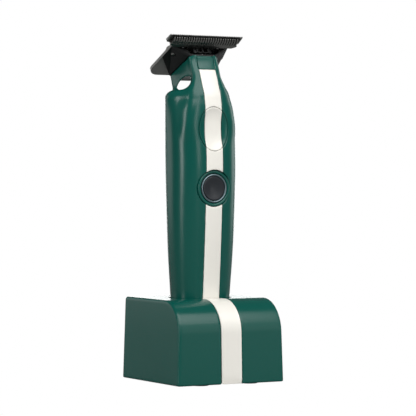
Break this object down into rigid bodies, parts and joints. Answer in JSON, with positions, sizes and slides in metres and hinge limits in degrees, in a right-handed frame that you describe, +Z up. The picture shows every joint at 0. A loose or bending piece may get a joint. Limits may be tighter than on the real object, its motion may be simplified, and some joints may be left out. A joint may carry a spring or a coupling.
{
  "type": "hair clipper",
  "caption": "Cordless T-blade hair clipper standing in a square charging dock, green lacquer with a cream stripe, round power button and dished thumb rest.",
  "frame": {"origin": "centre of the dock's footprint on the surface that it stands on", "axes": "+Z up along the clipper, front with the stripe and button towards -Y, +X to the right seen from the front"},
  "size_m": [0.0606, 0.061, 0.176],
  "materials": {
    "green_lacquer": "gloss",
    "cream_lacquer": "gloss",
    "black_plastic": "satin",
    "pewter": "satin",
    "navy_plastic": "satin",
    "blade_steel": "satin",
    "bright_steel": "satin",
    "brass": "satin",
    "board": "satin",
    "grey_plastic": "matte",
    "cell": "satin",
    "rubber": "matte"
  },
  "bodies": {
    "dock": {"dock_shell": "green_lacquer", "dock_stripe": "cream_lacquer", "socket_cup": "black_plastic", "base_plate": "black_plastic", "ballast_plate": "bright_steel", "charging_inlet": "bright_steel", "dock_board": "board", "pin_block": "grey_plastic", "dock_screw_1": "bright_steel", "dock_foot_1": "rubber", "dock_screw_2": "bright_steel", "dock_foot_2": "rubber", "dock_screw_3": "bright_steel", "dock_foot_3": "rubber", "dock_screw_4": "bright_steel", "dock_foot_4": "rubber"},
    "clipper": {"body_shell": "green_lacquer", "nose_cap": "green_lacquer", "thumb_rest": "green_lacquer", "button_bezel": "green_lacquer", "stripe_neck": "cream_lacquer", "stripe_middle": "cream_lacquer", "stripe_lower": "cream_lacquer", "stripe_thumb": "cream_lacquer", "bottom_cap": "black_plastic", "head_block": "black_plastic", "dome_switch": "black_plastic", "button_ring": "pewter", "comb_blade": "blade_steel", "blade_spring": "bright_steel", "blade_screw_left": "bright_steel", "blade_screw_right": "bright_steel", "head_screw_left": "bright_steel", "head_screw_right": "bright_steel", "cap_screw_left": "bright_steel", "cap_screw_right": "bright_steel", "motor_can": "bright_steel", "shaft_bush": "brass", "charge_pad_left": "brass", "charge_pad_right": "brass", "circuit_board": "board", "chassis": "grey_plastic", "battery_cell": "cell"},
    "power_button": {"power_button": "navy_plastic"},
    "switch_plunger": {"switch_plunger": "bright_steel"},
    "rotor": {"motor_shaft": "bright_steel"},
    "cutter": {"cutter_blade": "blade_steel", "drive_fork": "black_plastic"},
    "pin_left": {"contact_pin_left": "brass"},
    "pin_right": {"contact_pin_right": "brass"}
  },
  "joints": [
    {"name": "clipper_lift", "type": "slide", "parent": "dock", "child": "clipper", "axis": [0, 0, 1], "range_m": [0, 0.03]},
    {"name": "button_press", "type": "slide", "parent": "clipper", "child": "power_button", "axis": [0, 1, 0], "range_m": [0, 0.0005], "stiffness_N_per_m": 1200},
    {"name": "plunger_press", "type": "slide", "parent": "clipper", "child": "switch_plunger", "axis": [0, 1, 0], "range_m": [0, 0.0005]},
    {"name": "rotor_spin", "type": "hinge", "parent": "clipper", "child": "rotor", "pos_m": [0, 0.002, 0.15], "axis": [0, 0, 1], "continuous": true},
    {"name": "cutter_slide", "type": "slide", "parent": "clipper", "child": "cutter", "axis": [1, 0, 0], "range_m": [-0.00075, 0.00075]},
    {"name": "pin_left_press", "type": "slide", "parent": "dock", "child": "pin_left", "axis": [0, 0, -1], "range_m": [0, 0.001], "stiffness_N_per_m": 400},
    {"name": "pin_right_press", "type": "slide", "parent": "dock", "child": "pin_right", "axis": [0, 0, -1], "range_m": [0, 0.001], "stiffness_N_per_m": 400}
  ],
  "couplings": [
    {"joint": "plunger_press", "follows": "button_press", "ratio": 1}
  ]
}
